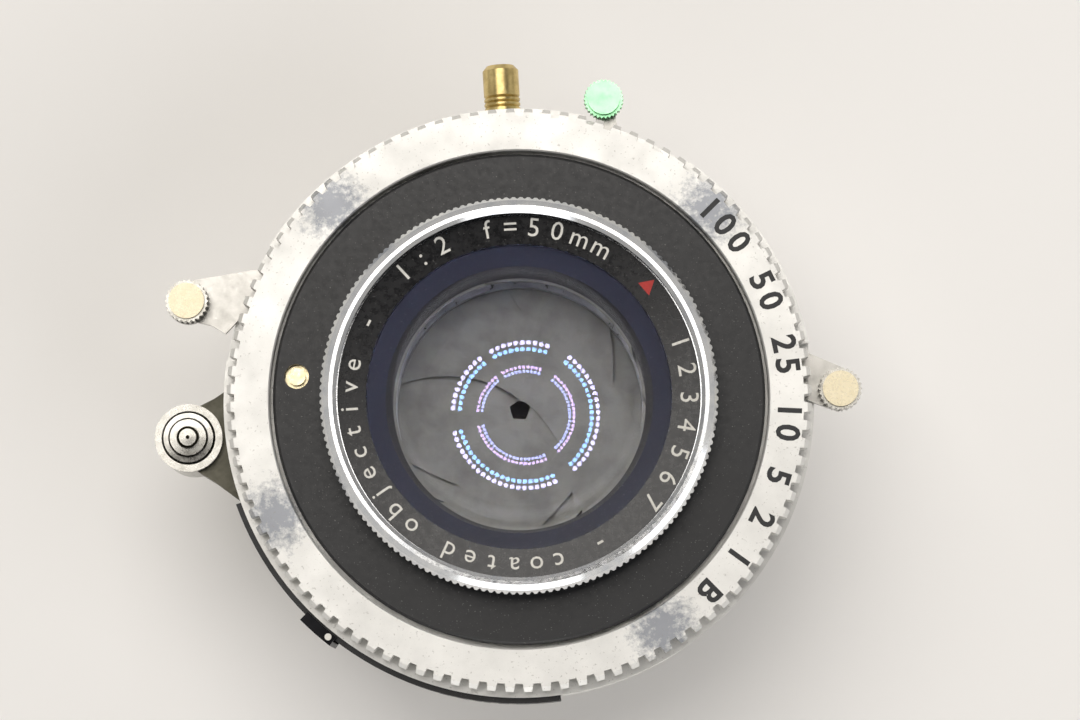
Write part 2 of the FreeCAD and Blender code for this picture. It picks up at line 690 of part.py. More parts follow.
def escape_wheel(label, centre, pinion_faces, pinion_low, wheel_low):
    """Escape wheel with saw teeth, fast on its pinion."""
    thick = dims.wheel_thickness
    pinion = toothed(centre, PINION_TEETH, pinion_faces + 180.0 / PINION_TEETH,
                     pinion_low, pinion_low + thick)
    hub = drum(centre, 0.8, pinion_low + thick, wheel_low)
    step = 360.0 / ESCAPE_TEETH
    points = []
    for number in range(ESCAPE_TEETH):
        points.append(centre + polar(ESCAPE_ROOT, number * step))
        points.append(centre + polar(ESCAPE_RADIUS, (number + 0.75) * step))
    wheel = prism(points, wheel_low, wheel_low + thick)
    keep(solid_feature(label, bored(pinion.fuse([hub, wheel]).removeSplitter(), centre)))


def pallet(label, centre, wheel_centre, low):
    """Anchor that rocks on its own arbor, its two arms clear of the escape wheel's tips."""
    high = low + dims.wheel_thickness
    facing = bearing(wheel_centre, centre)
    base = Vector(wheel_centre.x, wheel_centre.y, float(low))
    height = float(high) - float(low)
    bow = Part.makeCylinder(3.05, height, base, Z_AXIS, 76.0)
    bow.rotate(base, Z_AXIS, facing - 38.0)
    bow = bow.cut(Part.makeCylinder(2.62, height, base))
    anchor = bow.fuse(drum(centre, 0.75, low, high)).removeSplitter()
    keep(solid_feature(label, bored(anchor, centre)))


def retard_sector_shape(centre, facing):
    """Toothed sector with a hub, for the slow-speed train."""
    low = dims.first_wheels
    high = low + dims.wheel_thickness
    teeth = toothed(centre, SECTOR_TEETH, facing, low, high, first=-1, last=3)
    return bored(teeth.fuse(drum(centre, 1.0, low, high + 0.3)).removeSplitter(), centre)


TIMER_KNOB = polar(26.1, 74.5)


def timer_lever_shape(centre, facing):
    """Self-timer lever: knob arm above, toothed sector below, one hub through both."""
    low = dims.first_wheels
    teeth = toothed(centre, SECTOR_TEETH, facing, low, low + dims.wheel_thickness, first=0, last=5)
    hub = drum(centre, 1.0, low, dims.timer_lever_high)
    toward = bearing(centre, TIMER_KNOB)
    ends = []
    for point, half in ((centre, 0.95), (TIMER_KNOB, 0.8)):
        ends.append((point + polar(half, toward - 90), point + polar(half, toward + 90)))
    arm = prism([ends[0][0], ends[1][0], ends[1][1], ends[0][1]],
                dims.timer_lever_low, dims.timer_lever_high)
    eye = drum(TIMER_KNOB, 0.8, dims.timer_lever_low, dims.timer_lever_high)
    return bored(teeth.fuse([hub, arm, eye]).removeSplitter(), centre)


def make_trains():
    for name, angles in (("retard", RETARD_ARBORS), ("timer", TIMER_ARBORS)):
        sector, wheel, escape, anchor = [arbor_spot(angle) for angle in angles]
        if name == "retard":
            shape = retard_sector_shape(sector, bearing(sector, wheel))
            keep(solid_feature("retard_sector", shape))
        else:
            shape = timer_lever_shape(sector, bearing(sector, wheel))
            keep(solid_feature("selftimer_lever", shape))
        wheel_and_pinion(name + "_wheel", wheel, bearing(wheel, sector), bearing(wheel, escape),
                         dims.first_wheels, dims.second_wheels)
        escape_wheel(name + "_escape_wheel", escape, bearing(escape, wheel),
                     dims.second_wheels, dims.third_wheels)
        pallet(name + "_pallet", anchor, escape, dims.third_wheels)


RELEASE_PIVOT = Vector(-17.5, 8.5, 0)
BRIDGE_START, BRIDGE_SPAN = 247.0, 156.0


def make_posts_and_bridge():
    posts = []
    arbors = RETARD_ARBORS + TIMER_ARBORS[1:]
    for number, angle in enumerate(arbors, 1):
        spot = arbor_spot(angle)
        posts.append(rod("arbor_%d" % number, dims.arbor_radius, dims.mechanism_high,
                         dims.bridge_low, spot.x, spot.y))
    spot = arbor_spot(TIMER_ARBORS[0])
    posts.append(rod("timer_arbor", dims.arbor_radius, dims.mechanism_high,
                     dims.timer_lever_high - 0.1, spot.x, spot.y))
    posts.append(rod("release_arbor", dims.release_post, dims.mechanism_high,
                     dims.lever_high + 0.15, RELEASE_PIVOT.x, RELEASE_PIVOT.y))
    keep(grouped("arbor_posts", *posts))
    deck = arc_band("bridge_deck", dims.arbor_circle - 2.0, dims.arbor_circle + 2.0,
                    dims.bridge_low, dims.bridge_high, BRIDGE_START, BRIDGE_SPAN)
    pillars = []
    for number, angle in enumerate((318.0, 356.0), 1):
        spot = arbor_spot(angle)
        pillars.append(rod("bridge_pillar_%d" % number, 0.9, dims.mechanism_high,
                           dims.bridge_low, spot.x, spot.y))
    keep(joined("train_bridge", deck, *pillars))


# ---------------------------------------------------------------- levers, springs and knobs


def coil(label, radius, wire, low, high, turns):
    """A wound wire spring round its own Z axis."""
    rise = float(high) - float(low) - 2 * wire
    helix = Part.makeHelix(rise / turns, rise, radius)
    section = Part.Wire(Part.makeCircle(wire, Vector(radius, 0, 0), Vector(0, 1, 0)))
    shape = Part.Wire(helix.Edges).makePipeShell([section], True, True)
    spring = solid_feature(label, shape)
    place(spring, z=float(low) + wire)
    return keep(spring)


def knob(label, radius, low, high, spot, ridges):
    """A ridged grip with a plain turned cap, riveted to its lever."""
    points = []
    for number in range(ridges):
        turn = 360.0 / ridges * number
        points.append(spot + polar(radius, turn))
        points.append(spot + polar(float(radius) - 0.16, turn + 180.0 / ridges))
    rim_top = float(high) - 0.35
    grip = prism(points, low, rim_top)
    cap = drum(spot, float(radius) - 0.32, rim_top, high)
    stem = drum(spot, 0.75, low, rim_top)
    keep(solid_feature(label, grip.fuse([cap, stem]).removeSplitter()))


RELEASE_KNOB = Vector(-27.3, 8.14, 0)
COCKING_KNOB = Vector(26.3, 0.92, 0)


def make_release_lever():
    arm = plate("release_arm", [
        (-26.9, 10.05), (-21.8, 10.9), (-16.9, 9.9), (-15.8, 8.9), (-16.1, 7.5),
        (-17.6, 6.9), (-22.9, 7.0), (-24.2, 5.6), (-25.4, 6.3), (-27.0, 6.65),
    ], dims.lever_low, dims.lever_high)
    eye = rod("release_eye", 1.75, dims.lever_low, dims.lever_high, RELEASE_KNOB.x, RELEASE_KNOB.y)
    hole = rod("release_hole", dims.release_post + 0.05, dims.lever_low - 0.5,
               dims.lever_high + 0.5, RELEASE_PIVOT.x, RELEASE_PIVOT.y)
    keep(cut("release_lever", joined("release_blank", arm, eye), hole))
    knob("release_lever_knob", dims.knob_radius, dims.lever_high, dims.lever_high + 2.0,
         RELEASE_KNOB, 26)


def make_cocking_ring():
    ring = turned("cocking_turning", [
        (dims.front_tube + dims.running_gap, dims.lever_low),
        (dims.cocking_ring_radius, dims.lever_low),
        (dims.cocking_ring_radius, dims.lever_high),
        (dims.front_tube + dims.running_gap, dims.lever_high),
    ])
    arm = plate("cocking_arm", [
        (13.6, -1.6), (23.2, 0.3), (25.2, -0.45), (26.3, -0.8), (27.4, 0.1), (27.4, 2.2),
        (26.4, 2.9), (23.8, 4.0), (13.6, 4.2),
    ], dims.lever_low, dims.lever_high)
    bore = rod("cocking_bore", dims.front_tube + dims.running_gap, dims.lever_low - 0.5,
               dims.lever_high + 0.5)
    keep(cut("cocking_ring", joined("cocking_blank", ring, arm), bore))
    knob("cocking_knob", dims.knob_radius, dims.lever_high, dims.lever_high + 2.0, COCKING_KNOB, 26)


def make_timer_knob():
    knob("selftimer_knob", dims.timer_knob_radius, dims.timer_lever_high,
         dims.timer_lever_high + 1.5, TIMER_KNOB, 30)


MAIN_SPRING_WIRE, BUTTON_SPRING_WIRE = 0.15, 0.12
BUTTON_SPRING_LENGTH, BUTTON_SPRING_TURNS = 3.6, 7


def make_springs():
    coil("main_spring", float(dims.front_tube) + 0.55, MAIN_SPRING_WIRE,
         dims.mechanism_high + 0.1, dims.lever_low - 0.1, 7)
    floor = dims.guide_low + dims.guide_floor + BUTTON_SPRING_WIRE
    rise = (BUTTON_SPRING_LENGTH - 2 * BUTTON_SPRING_WIRE) / (BUTTON_SPRING_TURNS - 1)
    turns = []
    for number in range(BUTTON_SPRING_TURNS):
        turn = doc.addObject("Part::Torus", "button_spring_turn_%d" % (number + 1))
        bind(turn, "Radius1", dims.button_radius - 0.65)
        bind(turn, "Radius2", BUTTON_SPRING_WIRE)
        place(turn, x=dims.button_x, y=dims.button_y, z=floor + rise * number)
        turns.append(turn)
    keep(grouped("button_spring", *turns))


def make_release_button():
    guide = turned("release_button_guide", [
        (dims.plunger_radius + 0.06, dims.guide_low),
        (dims.guide_radius, dims.guide_low),
        (dims.guide_radius, dims.guide_high),
        (dims.button_radius + dims.running_gap, dims.guide_high),
        (dims.button_radius + dims.running_gap, dims.guide_low + dims.guide_floor),
        (dims.plunger_radius + 0.06, dims.guide_low + dims.guide_floor),
    ])
    place(guide, x=dims.button_x, y=dims.button_y)
    keep(guide)
    foot = dims.guide_low + dims.guide_floor + BUTTON_SPRING_LENGTH
    button = turned("release_button", [
        (0, dims.guide_low - 0.1),
        (dims.plunger_radius, dims.guide_low - 0.1),
        (dims.plunger_radius, foot),
        (dims.button_radius, foot),
        (dims.button_radius, dims.button_top),
        (dims.button_radius - 0.45, dims.button_top + 0.05),
        (dims.button_radius - 0.5, dims.button_top + 0.35),
        (dims.button_radius - 1.15, dims.button_top + 0.4),
        (dims.button_radius - 1.2, dims.button_top + 0.65),
        (0, dims.button_top + 0.7),
    ])
    place(button, x=dims.button_x, y=dims.button_y)
    keep(button)
    web = plate("bracket_web", [
        (-21.5, 3.0), (-25.3, 0.4), (-27.3, -0.6), (-27.3, -5.2), (-25.3, -6.4), (-21.5, -9.2),
    ], dims.guide_low + 1.0, dims.guide_high - 0.9)
    case_side = rod("bracket_seat", dims.case_radius, dims.guide_low, dims.guide_high)
    guide_side = rod("bracket_bore", dims.guide_radius, dims.guide_low, dims.guide_high,
                     dims.button_x, dims.button_y)
    keep(cut("release_bracket", web, case_side, guide_side))


# ---------------------------------------------------------------- speed ring and cover

GRIP_TEETH, RIM_KNURLS = 100, 167
COVER_WINDOW = polar(18.2, 174.5)
LATCH_PIN_RADIUS = 0.7


def make_speed_ring():
    ring = turned("speed_ring", [
        (dims.speed_ring_bore, dims.speed_ring_low),
        (dims.speed_ring_tip - 0.3, dims.speed_ring_low),
        (dims.speed_ring_tip, dims.speed_ring_low + 0.3),
        (dims.speed_ring_tip, dims.speed_ring_high - 0.35),
        (dims.speed_ring_tip - 0.35, dims.speed_ring_high),
        (dims.speed_ring_bore + 0.12, dims.speed_ring_high),
        (dims.speed_ring_bore, dims.speed_ring_high - 0.12),
        (dims.speed_ring_bore, dims.speed_skirt_high),
        (dims.speed_skirt_bore, dims.speed_skirt_high),
        (dims.speed_skirt_bore, dims.speed_skirt_low),
        (dims.speed_ring_bore, dims.speed_skirt_low),
    ])
    pitch = 2 * math.pi * float(dims.speed_ring_tip) / GRIP_TEETH
    grooved(ring, [
        (dims.speed_ring_root, -0.20 * pitch),
        (dims.speed_ring_tip + 0.15, -0.31 * pitch),
        (dims.speed_ring_tip + 0.15, 0.31 * pitch),
        (dims.speed_ring_root, 0.20 * pitch),
    ], GRIP_TEETH)
    keep(ring)
    cam = turned("cam_turning", [
        (dims.cover_hub + dims.running_gap, dims.speed_ring_low),
        (dims.speed_ring_bore - 0.05, dims.speed_ring_low),
        (dims.speed_ring_bore - 0.05, dims.cam_high),
        (dims.cover_hub + dims.running_gap, dims.cam_high),
    ])
    tracks = [
        arc_band("cam_track_%d" % number, inner, inner + width, dims.speed_ring_low - 0.2,
                 dims.cam_high + 0.2, start, span)
        for number, (inner, width, start, span) in enumerate(
            ((16.0, 0.9, 20.0, 100.0), (17.6, 0.9, 150.0, 80.0), (16.2, 1.4, 255.0, 60.0)), 1)
    ]
    keep(cut("speed_cam_ring", cam, *tracks))


def make_cover():
    blank = turned("cover_turning", [
        (dims.cover_bore, dims.cover_hub_low),
        (dims.cover_hub, dims.cover_hub_low),
        (dims.cover_hub, dims.cover_low),
        (dims.cover_lip, dims.cover_low),
        (dims.cover_lip, dims.cover_lip_low),
        (dims.cover_radius, dims.cover_lip_low),
        (dims.cover_radius, dims.cover_high - dims.cover_edge),
        (dims.cover_radius - dims.cover_edge, dims.cover_high),
        (dims.cover_bore, dims.cover_high),
    ])
    window = rod("cover_window", 1.0, dims.cover_low - 0.5, dims.cover_high + 0.5,
                 COVER_WINDOW.x, COVER_WINDOW.y)
    keep(cut("cover_plate", blank, window))
    spring_leaf = arc_band("latch_leaf", COVER_WINDOW.Length - 2.0, COVER_WINDOW.Length + 0.95,
                           dims.cover_low - 0.3, dims.cover_low, 170.5, 8.0)
    pin = rod("latch_pin", LATCH_PIN_RADIUS, dims.cover_low - 0.3, dims.cover_high - 0.15,
              COVER_WINDOW.x, COVER_WINDOW.y)
    keep(joined("cover_latch", spring_leaf, pin))


# ---------------------------------------------------------------- lens cells and glass


def make_front_cell():
    keep(turned("front_cell_barrel", [
        (dims.stop_radius + 0.2, dims.front_cell_low),
        (dims.front_cell_radius, dims.front_cell_low),
        (dims.front_cell_radius, dims.front_tube_top + 0.05),
        (dims.front_tube, dims.front_tube_top + 0.05),
        (dims.front_tube, dims.cell_shoulder),
        (dims.cover_bore - 0.1, dims.cell_shoulder),
        (dims.cover_bore - 0.1, dims.flange_low),
        (dims.rim_radius - 0.2, dims.flange_low),
        (dims.rim_radius - 0.2, dims.flange_high),
        (dims.filter_radius - 0.05, dims.flange_high),
        (dims.filter_radius - 0.05, dims.name_ring_low),
        (dims.element_bore, dims.name_ring_low),
        (dims.element_bore, dims.element_seat),
        (dims.baffle_bore, dims.element_seat),
        (dims.baffle_bore, dims.baffle_seat),
        (dims.doublet_bore, dims.baffle_seat),
        (dims.doublet_bore, dims.front_cell_low + 0.5),
        (dims.stop_radius + 0.2, dims.front_cell_low + 0.5),
    ]))
    rim = turned("front_rim_ring", [
        (dims.filter_radius - 0.04, dims.flange_high),
        (dims.rim_radius - 0.25, dims.flange_high),
        (dims.rim_radius, dims.flange_high + 0.25),
        (dims.rim_radius, dims.rim_top - 0.75),
        (dims.rim_radius - 0.3, dims.rim_top - 0.3),
        (dims.rim_radius - 0.75, dims.rim_top),
        (dims.filter_radius + 0.3, dims.rim_top),
        (dims.filter_radius, dims.rim_top - 0.3),
        (dims.filter_radius, dims.name_ring_low + 0.7),
        (dims.filter_radius - 0.04, dims.name_ring_low + 0.7),
    ])
    pitch = 2 * math.pi * float(dims.rim_radius) / RIM_KNURLS
    grooved(rim, [
        (dims.rim_radius - dims.knurl_depth, -0.08 * pitch),
        (dims.rim_radius + 0.1, -0.5 * pitch),
        (dims.rim_radius + 0.1, 0.5 * pitch),
        (dims.rim_radius - dims.knurl_depth, 0.08 * pitch),
    ], RIM_KNURLS)
    keep(rim)
    keep(turned("name_ring", [
        (dims.name_ring_bore, dims.name_ring_low),
        (dims.filter_radius - 0.05, dims.name_ring_low),
        (dims.filter_radius - 0.05, dims.name_ring_low + 0.62),
        (dims.name_ring_bore, dims.name_ring_low + 0.3),
    ]))
    make_baffle()


BAFFLE_RIBS, BAFFLE_RISE, BAFFLE_SPREAD = 6, 1.85, 1.65
RIB_SHARE = 0.75  # upright part of each rib, as a share of its height


def make_baffle():
    """Baffle on the cell's shoulder, under the front element: a cone of fine light-trap ribs."""
    base = dims.baffle_seat + 0.05
    top = base + BAFFLE_RISE
    low_radius = dims.doublet_glass - 0.05
    outer, collar = dims.baffle_bore - 0.05, dims.element_bore - 0.05
    collar_low = dims.element_seat + 0.05
    corners = [(collar, top), (collar, collar_low), (outer, collar_low), (outer, base)]
    for rib in range(BAFFLE_RIBS):
        share = rib / BAFFLE_RIBS
        radius, height = low_radius + share * BAFFLE_SPREAD, base + share * BAFFLE_RISE
        corners.append((radius, height))
        corners.append((radius, height + BAFFLE_RISE / BAFFLE_RIBS * RIB_SHARE))
    corners.append((low_radius + BAFFLE_SPREAD, top))
    keep(turned("front_spacer_ring", corners))


def ball(label, radius, centre_height):
    sphere = doc.addObject("Part::Sphere", label)
    bind(sphere, "Radius", radius)
    place(sphere, z=centre_height)
    return sphere


def common(label, base, tool):
    result = doc.addObject("Part::Common", label)
    result.Base, result.Tool = base, tool
    return result


def facing_front(curve, vertex):
    """A spherical surface whose vertex is its front-most point: (radius, centre height)."""
    return (curve, vertex - curve)


def facing_rear(curve, vertex):
    """A spherical surface whose vertex is its rear-most point: (radius, centre height)."""
    return (curve, vertex + curve)


def element(label, radius, low, high, convex=(), concave=()):
    """A lens element: a glass disc trimmed by spheres given as (radius, centre height)."""
    shape = rod(label + "_disc", radius, low, high)
    faces = [(common, face) for face in convex] + [(cut, face) for face in concave]
    for number, (trim, (curve, centre)) in enumerate(faces, 1):
        final = number == len(faces)
        name = label if final else "%s_trim_%d" % (label, number)
        shape = trim(name, shape, ball("%s_face_%d" % (label, number), curve, centre))
    return keep(shape)


def make_glass():
    front_cement, rear_cement = 9.88, -3.1
    element("front_element", dims.front_glass, 13.0, 17.5, convex=[facing_front(38.0, 17.3)],
            concave=[facing_front(150.0, 14.1)])
    element("front_doublet_crown", dims.doublet_glass, dims.cement_gap + front_cement, 14.0,
            convex=[facing_front(20.5, 13.8)])
    element("front_doublet_flint", dims.doublet_glass, 5.95, front_cement,
            concave=[facing_front(13.8, 8.8)])
    element("rear_doublet_flint", dims.rear_glass, rear_cement, 1.03,
            concave=[facing_rear(13.5, -1.9)])
    element("rear_doublet_crown", dims.rear_glass, -8.0, rear_cement - dims.cement_gap,
            convex=[facing_rear(19.5, -7.7)])
    element("rear_element", dims.rear_glass, -11.2, -7.9,
            convex=[facing_front(80.0, -8.0), facing_rear(35.0, -11.0)])


def make_rear_cell():
    collar_top = -dims.seat_length - 0.05
    keep(turned("rear_cell_barrel", [
        (dims.stop_radius + 0.2, 1.1),
        (dims.rear_cell_bore, 1.1),
        (dims.rear_cell_bore, dims.rear_end),
        (dims.rear_collar - 0.3, dims.rear_end),
        (dims.rear_collar, dims.rear_end + 0.3),
        (dims.rear_collar, collar_top),
        (dims.rear_cell_radius, collar_top),
        (dims.rear_cell_radius, 1.6),
        (dims.stop_radius + 0.2, 1.6),
    ]))
    keep(turned("rear_spacer_ring", [
        (9.1, -8.45), (dims.rear_glass, -8.45), (dims.rear_glass, -5.25), (9.1, -5.5),
    ]))
    keep(turned("rear_retaining_ring", [
        (8.8, -10.8), (dims.rear_glass, -10.8), (dims.rear_glass, -9.75), (8.8, -9.98),
    ]))


# ---------------------------------------------------------------- flash socket


def make_socket():
    length = dims.socket_end - dims.socket_start
    groove = 0.12
    shank = dims.case_radius + 0.1 - dims.socket_start
    corners = [(dims.socket_bore, 0), (dims.socket_shank, 0), (dims.socket_shank, shank),
               (dims.socket_radius, shank)]
    for height in (2.5, 2.9, 3.3):
        corners += [(dims.socket_radius, height), (dims.socket_radius - groove, height + groove),
                    (dims.socket_radius, height + 2 * groove)]
    corners += [(dims.socket_radius, length - 0.4), (dims.socket_radius - 0.35, length),
                (dims.socket_bore, length)]
    barrel = turned("sync_socket_barrel", corners)
    barrel.Placement = socket_placement(dims.socket_start)
    keep(barrel)
    insulator = turned("sync_socket_insulator", [
        (dims.contact_pin, 0), (dims.socket_bore, 0), (dims.socket_bore, length - 0.7),
        (dims.contact_pin, length - 0.7),
    ])
    insulator.Placement = socket_placement(dims.socket_start)
    keep(insulator)
    inner_reach = 1.2
    pin = turned("sync_socket_pin", [
        (0, 0), (dims.contact_pin, 0), (dims.contact_pin, length + 0.9), (0, length + 1.0),
    ])
    pin.Placement = socket_placement(dims.socket_start - inner_reach)
    keep(pin)
    leaf = doc.addObject("Part::Box", "sync_contact_leaf")
    leaf.Length, leaf.Width, leaf.Height = 5.0, 0.15, 2.4
    outward = polar(float(dims.socket_start) - inner_reach - 0.15, dims.socket_angle)
    side = polar(2.5, float(dims.socket_angle) + 90.0)
    corner = outward + side
    place(leaf, x=corner.x, y=corner.y, z=dims.mechanism_high,
          turn=float(dims.socket_angle) - 90.0)
    keep(leaf)


# ---------------------------------------------------------------- assembly and export

for make in (make_case, make_blade_plate, make_mechanism_plate, make_iris, make_shutter,
             make_trains, make_posts_and_bridge, make_release_lever, make_cocking_ring,
             make_timer_knob, make_springs, make_release_button, make_speed_ring, make_cover,
             make_front_cell, make_glass, make_rear_cell, make_socket):
    make()

doc.recompute()
for thing in doc.Objects:
    if "Invalid" in thing.State or "Error" in thing.State:
        raise RuntimeError("%s did not build: %s" % (thing.Label, thing.State))
for piece in pieces:
    if piece.Shape.isNull() or not piece.Shape.isValid() or not piece.Shape.Solids:
        raise RuntimeError("%s has no valid solid" % piece.Label)

os.makedirs("parts", exist_ok=True)
for piece in pieces:
    piece.Shape.exportStep("parts/%s.step" % piece.Label)
print("%d pieces" % len(pieces))
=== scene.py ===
"""Looks of the enlarging objective in its leaf shutter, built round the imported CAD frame.

Metres, in the CAD's own frame: +Z is the optical axis towards the front glass, the origin is at
the shutter's rear seat. Angles run anticlockwise from +X as seen from the front.
"""

import json
import math

import bpy
from mathutils import Matrix, Vector


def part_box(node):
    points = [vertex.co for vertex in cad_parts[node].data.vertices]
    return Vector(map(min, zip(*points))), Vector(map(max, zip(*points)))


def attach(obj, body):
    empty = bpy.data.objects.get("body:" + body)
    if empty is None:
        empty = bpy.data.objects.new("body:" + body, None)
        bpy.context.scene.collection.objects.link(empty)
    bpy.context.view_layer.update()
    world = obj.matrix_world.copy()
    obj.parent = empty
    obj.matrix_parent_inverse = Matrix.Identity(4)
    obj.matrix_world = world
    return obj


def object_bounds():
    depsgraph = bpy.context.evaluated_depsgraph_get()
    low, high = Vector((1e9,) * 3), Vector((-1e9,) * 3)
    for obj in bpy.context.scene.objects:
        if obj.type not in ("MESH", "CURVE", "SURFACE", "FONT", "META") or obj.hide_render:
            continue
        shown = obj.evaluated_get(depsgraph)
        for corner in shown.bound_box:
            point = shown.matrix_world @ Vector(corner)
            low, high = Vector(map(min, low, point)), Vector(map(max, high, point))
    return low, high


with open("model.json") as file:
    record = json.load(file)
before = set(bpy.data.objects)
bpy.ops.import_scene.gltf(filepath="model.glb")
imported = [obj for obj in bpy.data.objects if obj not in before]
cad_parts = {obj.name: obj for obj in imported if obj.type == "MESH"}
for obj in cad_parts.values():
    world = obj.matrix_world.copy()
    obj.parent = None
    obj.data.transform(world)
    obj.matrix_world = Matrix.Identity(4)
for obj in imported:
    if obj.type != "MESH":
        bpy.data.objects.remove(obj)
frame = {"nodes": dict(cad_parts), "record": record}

CAD_BOX = [list(corner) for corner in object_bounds()]
MM = 0.001

bpy.ops.object.select_all(action="DESELECT")


def polar(radius, degrees, height=0.0):
    """A point by its radius and angle about the optical axis."""
    angle = math.radians(degrees)
    return Vector((radius * math.cos(angle), radius * math.sin(angle), height))


def node_top(name):
    """Height of a CAD node's front."""
    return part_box(name)[1][2]


# ---------------------------------------------------------------- materials

# Sockets of a Mix node that blends colours: its three inputs, then its output.
BLEND, UNDER, OVER, BLENDED = 0, 6, 7, 2

# Patches of tarnish on sheet and on turned work, and the spacing at which their gloss changes.
SHEET_PATCH = 2.5 * MM
TURNED_PATCH = 0.8 * MM
GLOSS_GRAIN = 0.35 * MM

# Real blasting and pitting are finer than this: they are drawn coarser so that they show.
BLAST_GRAIN = 0.10 * MM
PIT_GRAIN = 0.15 * MM

PLATING_CLOUD = 3.0 * MM
PLATING_SPECK = 0.22 * MM
LACQUER_HAZE = 4.0 * MM
LACQUER_PEEL = 0.5 * MM
DUST_SPECK = 0.16 * MM
CAP_MOTTLE = 0.6 * MM
FILL_MOTTLE = 0.3 * MM

# Stains lie where fingers hold the toothed ring.
STAIN_SPOTS = [polar(22.0 * MM, turn, 14.0 * MM) for turn in (45.0, 134.0, 206.0, 302.0)]
STAIN_REACH = 3.2 * MM
STAIN_FRAY = 1.6 * MM
FRAY_GRAIN = 0.7 * MM


def linear(hex_colour):
    """An sRGB hex colour as the linear RGBA that shaders read."""
    values = []
    for start in (0, 2, 4):
        part = int(hex_colour[start:start + 2], 16) / 255.0
        values.append(part / 12.92 if part <= 0.04045 else ((part + 0.055) / 1.055) ** 2.4)
    return (*values, 1.0)


def add_node(tree, kind, inputs=None, **settings):
    """Add a node: settings are its own properties, inputs are values or sockets to link."""
    made = tree.nodes.new(kind)
    for name, value in settings.items():
        setattr(made, name, value)
    for name, value in (inputs or {}).items():
        if isinstance(value, bpy.types.NodeSocket):
            tree.links.new(value, made.inputs[name])
        else:
            made.inputs[name].default_value = value
    return made


def find_node(tree, kind):
    return next(node for node in tree.nodes if node.type == kind)


def start_material(name):
    """A material with its Principled shader."""
    material = bpy.data.materials.new(name)
    material.use_nodes = True
    return material, material.node_tree, find_node(material.node_tree, "BSDF_PRINCIPLED")


def mottled(tree, where, size, detail, roughness, reads, gives):
    """Noise with features about `size` across, its `reads` span stretched onto `gives`."""
    noise = add_node(tree, "ShaderNodeTexNoise", {
        "Vector": where, "Scale": 1.0 / size, "Detail": detail, "Roughness": roughness})
    stretched = add_node(tree, "ShaderNodeMapRange", {
        "Value": noise.outputs["Fac"], "From Min": reads[0], "From Max": reads[1],
        "To Min": gives[0], "To Max": gives[1]})
    return stretched.outputs["Result"]


def roughen(tree, shader, where, size, detail, roughness, depth):
    """Raise a grain about `size` across and `depth` high."""
    noise = add_node(tree, "ShaderNodeTexNoise", {
        "Vector": where, "Scale": 1.0 / size, "Detail": detail, "Roughness": roughness})
    raised = add_node(tree, "ShaderNodeBump", {
        "Height": noise.outputs["Fac"], "Distance": depth, "Strength": 1.0})
    tree.links.new(raised.outputs["Normal"], shader.inputs["Normal"])


def start_metal(name, colour, tarnish, roughness, spread, patch):
    """Bare or plated metal, with the parts that a further finish builds on.

    Tarnish lies in soft patches, and the gloss changes every third of a millimetre or so.
    """
    material, tree, shader = start_material(name)
    where = add_node(tree, "ShaderNodeTexCoord").outputs["Object"]
    dulled = mottled(tree, where, patch, 4.0, 0.6, (0.42, 0.72), (0.0, 0.8))
    surface = add_node(tree, "ShaderNodeMix", {
        BLEND: dulled, UNDER: linear(colour), OVER: linear(tarnish)}, data_type="RGBA")
    tree.links.new(surface.outputs[BLENDED], shader.inputs["Base Color"])
    shader.inputs["Metallic"].default_value = 1.0
    gloss = mottled(tree, where, GLOSS_GRAIN, 5.0, 0.65, (0.3, 0.7),
                    (roughness - spread, roughness + spread))
    tree.links.new(gloss, shader.inputs["Roughness"])
    return material, tree, shader, where, surface.outputs[BLENDED]


def metal(name, colour, tarnish, roughness, spread=0.08, pitting=0.0, patch=SHEET_PATCH):
    """Bare or plated metal, pitted where `pitting` gives a depth."""
    material, tree, shader, where, _ = start_metal(name, colour, tarnish, roughness, spread, patch)
    if pitting:
        roughen(tree, shader, where, PIT_GRAIN, 2.0, 0.5, pitting)
    return material


def stained(tree, where):
    """Soft-edged stains whose outline is frayed by noise: 1 inside them, 0 away from them."""
    fray = mottled(tree, where, FRAY_GRAIN, 6.0, 0.75, (0.3, 0.7), (-STAIN_FRAY, STAIN_FRAY))
    total = None
    for spot in STAIN_SPOTS:
        away = add_node(tree, "ShaderNodeVectorMath", {0: where, 1: spot}, operation="DISTANCE")
        frayed = add_node(tree, "ShaderNodeMath", {0: away.outputs["Value"], 1: fray},
                          operation="ADD")
        mask = add_node(tree, "ShaderNodeMapRange", {
            "Value": frayed.outputs[0], "From Min": STAIN_REACH,
            "From Max": STAIN_REACH * 0.35}).outputs["Result"]
        if total is not None:
            mask = add_node(tree, "ShaderNodeMath", {0: total, 1: mask},
                            operation="MAXIMUM").outputs[0]
        total = mask
    return total


